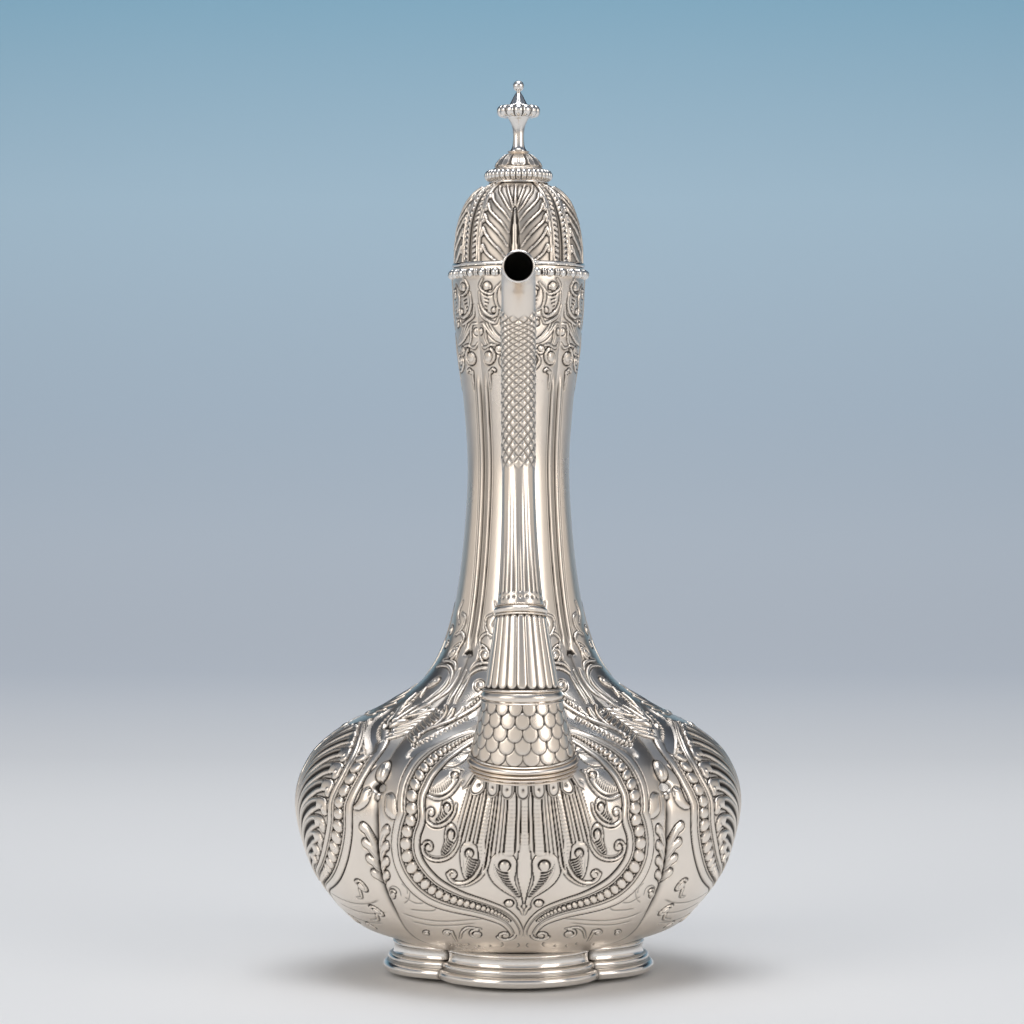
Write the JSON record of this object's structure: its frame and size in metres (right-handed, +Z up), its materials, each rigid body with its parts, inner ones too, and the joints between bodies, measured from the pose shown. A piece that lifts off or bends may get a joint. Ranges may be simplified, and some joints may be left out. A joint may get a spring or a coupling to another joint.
{
  "type": "coffee pot",
  "caption": "Lobed silver coffee pot with a tall slender neck, swan-neck spout, loop handle with heat insulators and a hinged domed lid with a turned finial.",
  "frame": {"origin": "middle of the foot ring's resting face", "axes": "+Z up along the neck, the spout points to -Y and the handle to +Y"},
  "size_m": [0.144, 0.156, 0.2894],
  "materials": {
    "chased_silver": "polished sterling silver with dark oxidised recesses",
    "polished_silver": "bright polished sterling silver",
    "plain_silver": "plain worked silver, hidden or small",
    "insulator_bone": "off-white bone-like insulator, softly polished"
  },
  "bodies": {
    "pot": {"foot_ring": "polished_silver", "body_shell": "chased_silver", "rim_beading": "polished_silver", "spout_tube": "chased_silver", "spout_lip": "polished_silver", "spout_base_collar": "polished_silver", "spout_middle_collar": "polished_silver", "spout_top_collar": "polished_silver", "hinge_bracket": "polished_silver", "hinge_pin": "plain_silver", "handle_upper_socket": "polished_silver", "handle_lower_socket": "polished_silver", "handle_upper_insulator": "insulator_bone", "handle_lower_insulator": "insulator_bone", "handle_grip": "polished_silver", "handle_pins": "plain_silver"},
    "lid": {"lid_dome": "chased_silver", "lid_ledge": "polished_silver", "lid_bezel": "chased_silver", "lid_knuckle": "polished_silver", "finial_ring": "polished_silver", "finial_bell": "chased_silver", "finial_stem": "polished_silver", "finial_button": "polished_silver", "finial_tip": "polished_silver", "finial_stud": "plain_silver", "finial_nut": "plain_silver"}
  },
  "joints": [
    {"name": "lid_hinge", "type": "hinge", "parent": "pot", "child": "lid", "pos_m": [0, 0.0254, 0.2284], "axis": [-1, 0, 0], "range_deg": [0, 105]}
  ]
}
